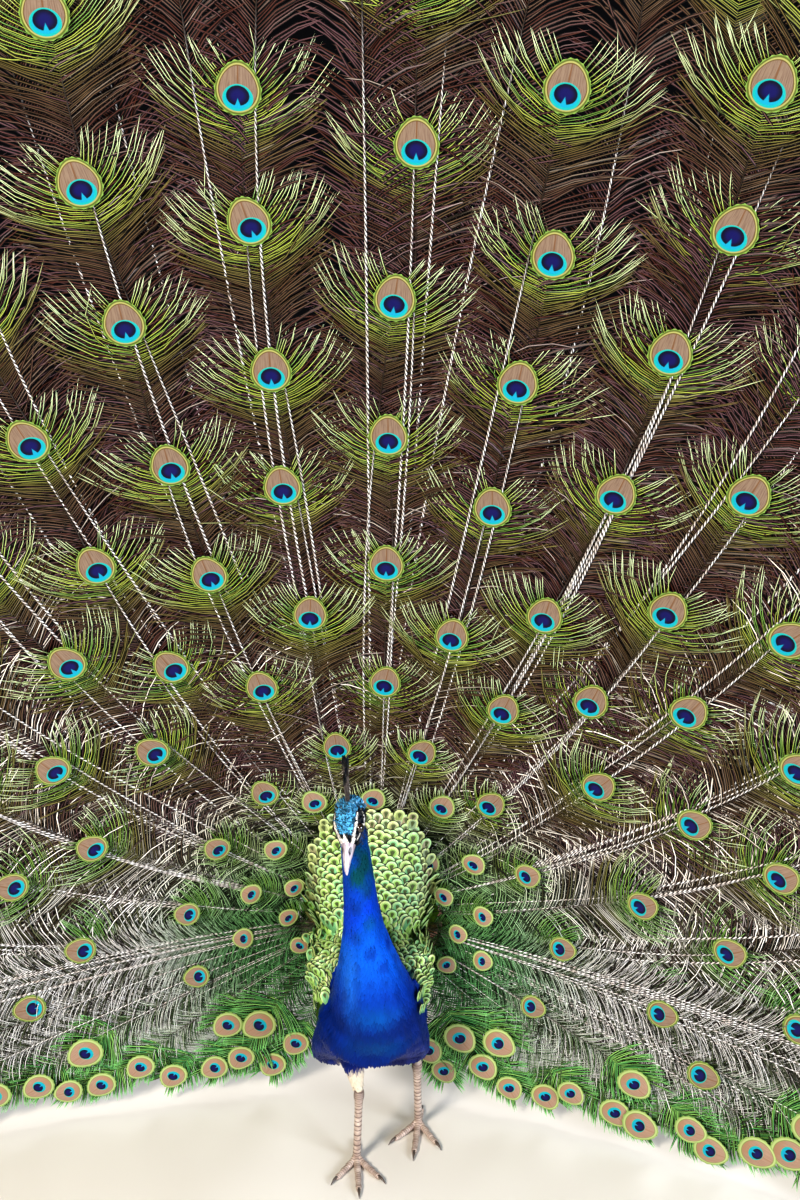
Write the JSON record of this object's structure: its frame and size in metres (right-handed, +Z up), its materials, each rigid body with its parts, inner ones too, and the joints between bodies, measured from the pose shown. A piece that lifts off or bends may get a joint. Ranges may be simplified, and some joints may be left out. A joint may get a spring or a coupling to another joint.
{
  "type": "displaying peacock",
  "caption": "Male Indian peafowl standing with its train fanned upright, life size, a still model",
  "frame": {"origin": "bottom centre of the bounding box, on the floor that the feet stand on", "axes": "the bird faces -Y, its left side is +X and +Z is up"},
  "size_m": [2.2156, 0.7438, 1.7593],
  "materials": {
    "blue_plumage": "satin",
    "crown_plumage": "satin",
    "bill_horn": "satin",
    "eye": "gloss",
    "crest_feather": "satin",
    "scale_plumage": "satin",
    "wing_plumage": "matte",
    "flight_feather": "matte",
    "thigh_plumage": "matte",
    "leg_scute": "satin",
    "tail_feather": "matte",
    "down": "matte",
    "train_feather": "satin",
    "edge_feather": "satin"
  },
  "bodies": {
    "root": {"trunk": "blue_plumage", "neck_lower": "blue_plumage", "neck_upper": "blue_plumage", "head": "crown_plumage", "bill_upper": "bill_horn", "bill_lower": "bill_horn", "eye_right": "eye", "eye_left": "eye", "crest": "crest_feather", "back_shield": "scale_plumage", "train_base": "scale_plumage", "wing_right": "wing_plumage", "primaries_right": "flight_feather", "thigh_right": "thigh_plumage", "shank_right": "leg_scute", "foot_right": "leg_scute", "wing_left": "wing_plumage", "primaries_left": "flight_feather", "thigh_left": "thigh_plumage", "shank_left": "leg_scute", "foot_left": "leg_scute", "tail": "tail_feather", "undertail": "down", "train_middle": "train_feather", "train_right_1": "train_feather", "train_right_2": "train_feather", "train_right_3": "train_feather", "train_right_4": "train_feather", "train_right_5": "train_feather", "train_right_6": "train_feather", "train_right_7": "train_feather", "train_right_8": "train_feather", "train_right_9": "train_feather", "train_edge_right_inner": "edge_feather", "train_edge_right_outer": "edge_feather", "train_left_1": "train_feather", "train_left_2": "train_feather", "train_left_3": "train_feather", "train_left_4": "train_feather", "train_left_5": "train_feather", "train_left_6": "train_feather", "train_left_7": "train_feather", "train_left_8": "train_feather", "train_left_9": "train_feather", "train_edge_left_inner": "edge_feather", "train_edge_left_outer": "edge_feather"}
  },
  "joints": []
}
